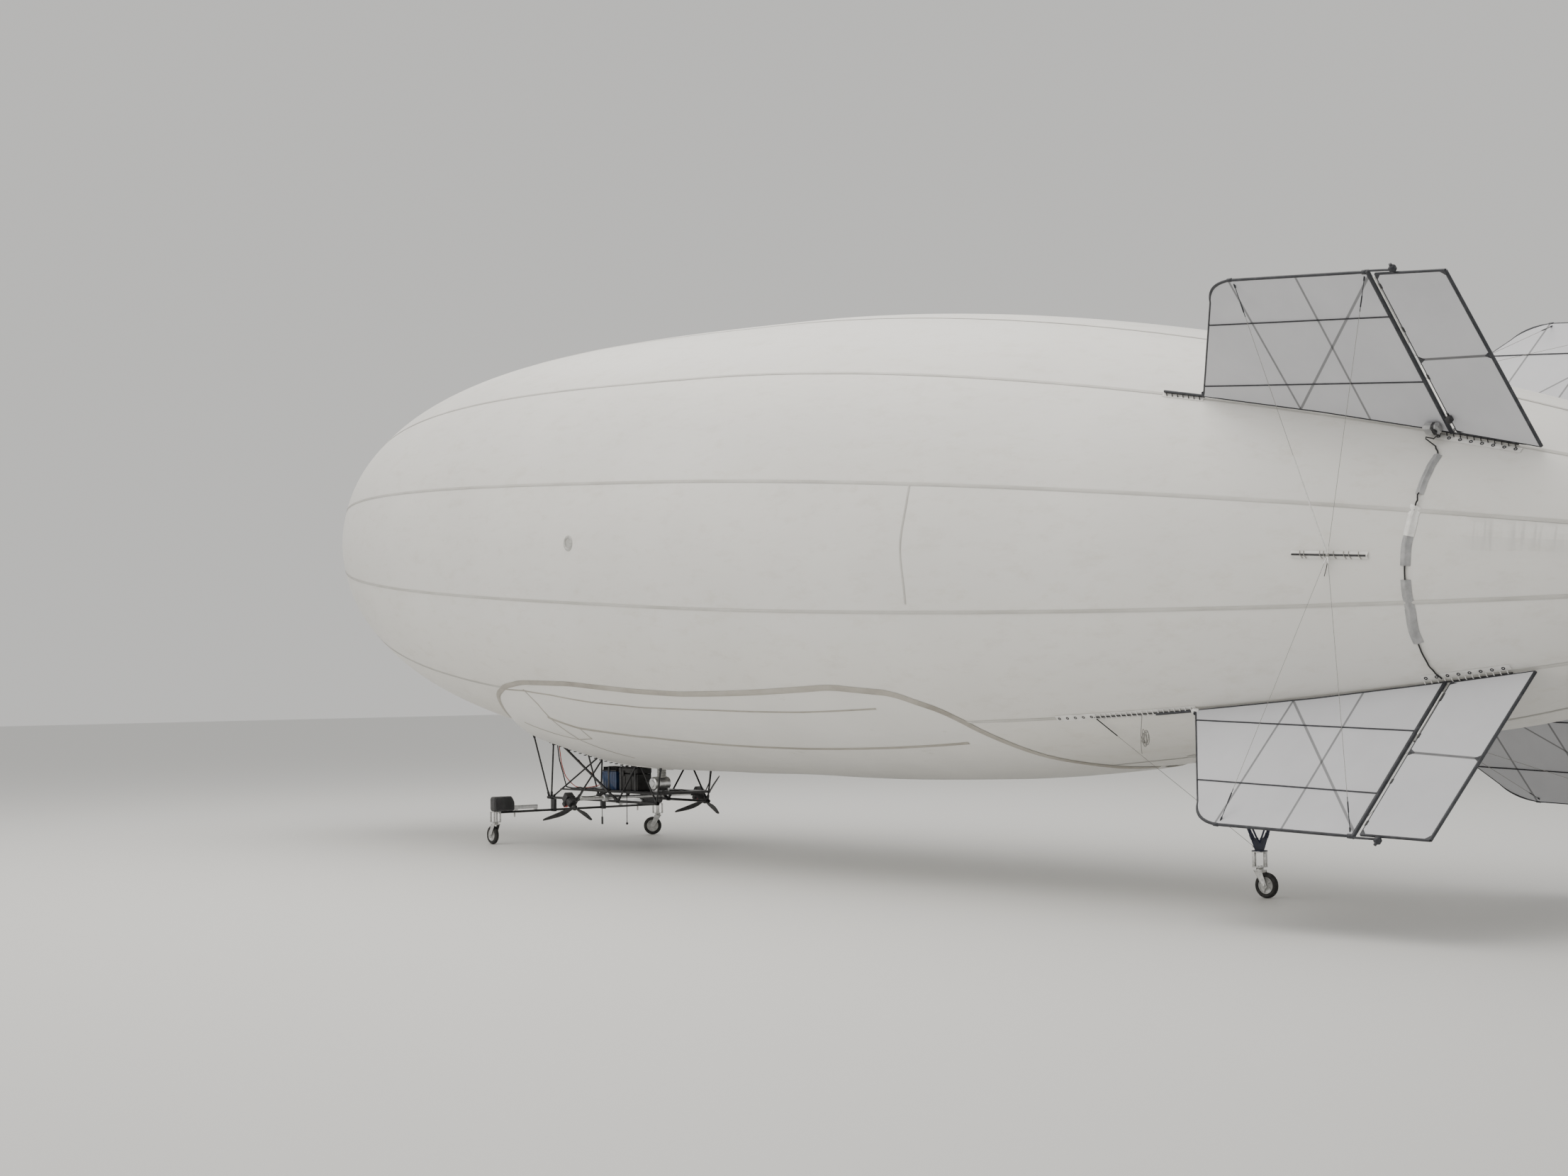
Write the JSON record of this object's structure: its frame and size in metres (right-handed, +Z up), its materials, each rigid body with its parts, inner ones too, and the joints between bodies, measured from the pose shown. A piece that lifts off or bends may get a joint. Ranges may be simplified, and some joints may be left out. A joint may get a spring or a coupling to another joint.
{
  "type": "small non-rigid airship on casters",
  "caption": "Non-rigid airship with a ventral fairing, an open tube gondola, tilting pusher motors, an X of braced tube fins with hinged surfaces, and swivel casters.",
  "frame": {"origin": "on the floor under the middle of the airship's length", "axes": "+X aft along the length, nose to -X, +Y to starboard, +Z up"},
  "size_m": [18.0335, 4.054, 4.9186],
  "materials": {
    "envelope_fabric": "smooth coated white airship fabric, faintly creased and scuffed",
    "fin_fabric": "taut translucent grey-white fabric",
    "grey_tube": "satin dark grey tube",
    "black_cable": "matt black sheath",
    "wrapped_servo": "grey tape-wrapped housing",
    "stay_wire": "thin pale braided stay",
    "black_tube": "satin black tube",
    "pod_cover": "black padded cover",
    "black_housing": "matt black housing",
    "propeller_black": "satin black carbon blade",
    "blue_housing": "satin blue housing with white labels left blank",
    "caster_tyre": "black rubber tyre on a grey rim",
    "bright_metal": "dull bright sheet metal"
  },
  "bodies": {
    "hull": {"envelope": "envelope_fabric", "tail_cap": "envelope_fabric", "keel_fairing": "envelope_fabric", "fin_frame_upper_left": "grey_tube", "fin_frame_lower_left": "grey_tube", "fin_frame_upper_right": "grey_tube", "fin_frame_lower_right": "grey_tube", "fin_cover_upper_left": "fin_fabric", "fin_cover_lower_left": "fin_fabric", "fin_cover_upper_right": "fin_fabric", "fin_cover_lower_right": "fin_fabric", "servo_upper_left": "wrapped_servo", "servo_lower_left": "wrapped_servo", "servo_upper_right": "wrapped_servo", "servo_lower_right": "wrapped_servo", "stay_set_left": "stay_wire", "stay_set_right": "stay_wire", "stay_set_top": "stay_wire", "stay_set_bottom": "stay_wire", "servo_cable_left": "black_cable", "servo_cable_right": "black_cable", "gondola_side_left": "black_tube", "gondola_side_right": "black_tube", "gondola_tray": "black_tube", "battery_box": "black_housing", "power_unit": "blue_housing", "avionics_box": "bright_metal", "ballonet_fan": "black_housing", "antenna_rod": "black_cable", "antenna_blade": "black_cable", "outrigger_tube": "black_tube", "outrigger_bar_left": "bright_metal", "outrigger_bar_right": "bright_metal", "caster_bracket_left": "bright_metal", "caster_bracket_right": "bright_metal", "side_pod_left": "pod_cover", "side_pod_right": "pod_cover", "motor_boom": "bright_metal", "tail_leg": "black_tube", "tail_bracket": "bright_metal", "tail_stay_left": "stay_wire", "tail_stay_right": "stay_wire"},
    "control_surface_upper_left": {"control_surface_upper_left": "fin_fabric"},
    "control_surface_lower_left": {"control_surface_lower_left": "fin_fabric"},
    "control_surface_upper_right": {"control_surface_upper_right": "fin_fabric"},
    "control_surface_lower_right": {"control_surface_lower_right": "fin_fabric"},
    "front_left_fork": {"front_left_fork": "bright_metal"},
    "front_left_wheel": {"front_left_wheel": "caster_tyre"},
    "front_right_fork": {"front_right_fork": "bright_metal"},
    "front_right_wheel": {"front_right_wheel": "caster_tyre"},
    "tail_fork": {"tail_fork": "bright_metal"},
    "tail_wheel": {"tail_wheel": "caster_tyre"},
    "motor_left": {"motor_left": "black_housing"},
    "propeller_left": {"propeller_left": "propeller_black"},
    "motor_right": {"motor_right": "black_housing"},
    "propeller_right": {"propeller_right": "propeller_black"}
  },
  "joints": [
    {"name": "control_surface_upper_left_hinge", "type": "hinge", "parent": "hull", "child": "control_surface_upper_left", "pos_m": [5.91636, -1.24939, 3.58128], "axis": [0.073, -0.7068, 0.7037], "range_deg": [-25, 25]},
    {"name": "control_surface_lower_left_hinge", "type": "hinge", "parent": "hull", "child": "control_surface_lower_left", "pos_m": [5.76773, -1.24939, 1.08692], "axis": [-0.0111, -0.7068, -0.7074], "range_deg": [-25, 25]},
    {"name": "control_surface_upper_right_hinge", "type": "hinge", "parent": "hull", "child": "control_surface_upper_right", "pos_m": [5.91636, 1.24939, 3.58128], "axis": [0.073, 0.7068, 0.7037], "range_deg": [-25, 25]},
    {"name": "control_surface_lower_right_hinge", "type": "hinge", "parent": "hull", "child": "control_surface_lower_right", "pos_m": [5.76773, 1.24939, 1.08692], "axis": [-0.0111, 0.7068, -0.7074], "range_deg": [-25, 25]},
    {"name": "front_left_swivel", "type": "hinge", "parent": "hull", "child": "front_left_fork", "pos_m": [-5.52, -0.985, 0.22], "axis": [0, 0, 1], "continuous": true},
    {"name": "front_left_wheel_spin", "type": "hinge", "parent": "front_left_fork", "child": "front_left_wheel", "pos_m": [-5.575, -0.985, 0.093], "axis": [0, 1, 0], "continuous": true},
    {"name": "front_right_swivel", "type": "hinge", "parent": "hull", "child": "front_right_fork", "pos_m": [-5.52, 0.985, 0.22], "axis": [0, 0, 1], "continuous": true},
    {"name": "front_right_wheel_spin", "type": "hinge", "parent": "front_right_fork", "child": "front_right_wheel", "pos_m": [-5.55386, 0.94166, 0.093], "axis": [-0.788, 0.6157, 0], "continuous": true},
    {"name": "tail_swivel", "type": "hinge", "parent": "hull", "child": "tail_fork", "pos_m": [3.525, 0, 0.22], "axis": [0, 0, 1], "continuous": true},
    {"name": "tail_wheel_spin", "type": "hinge", "parent": "tail_fork", "child": "tail_wheel", "pos_m": [3.57959, 0.0067, 0.093], "axis": [0.1219, -0.9925, 0], "continuous": true},
    {"name": "motor_left_tilt", "type": "hinge", "parent": "hull", "child": "motor_left", "pos_m": [-4.477, -0.777, 0.473], "axis": [0, 1, 0], "range_deg": [-40, 50]},
    {"name": "propeller_left_spin", "type": "hinge", "parent": "motor_left", "child": "propeller_left", "pos_m": [-4.3912, -0.777, 0.40101], "axis": [0.766, 0, -0.6428], "continuous": true},
    {"name": "motor_right_tilt", "type": "hinge", "parent": "hull", "child": "motor_right", "pos_m": [-4.477, 0.777, 0.473], "axis": [0, 1, 0], "range_deg": [-40, 50]},
    {"name": "propeller_right_spin", "type": "hinge", "parent": "motor_right", "child": "propeller_right", "pos_m": [-4.3912, 0.777, 0.40101], "axis": [0.766, 0, -0.6428], "continuous": true}
  ]
}
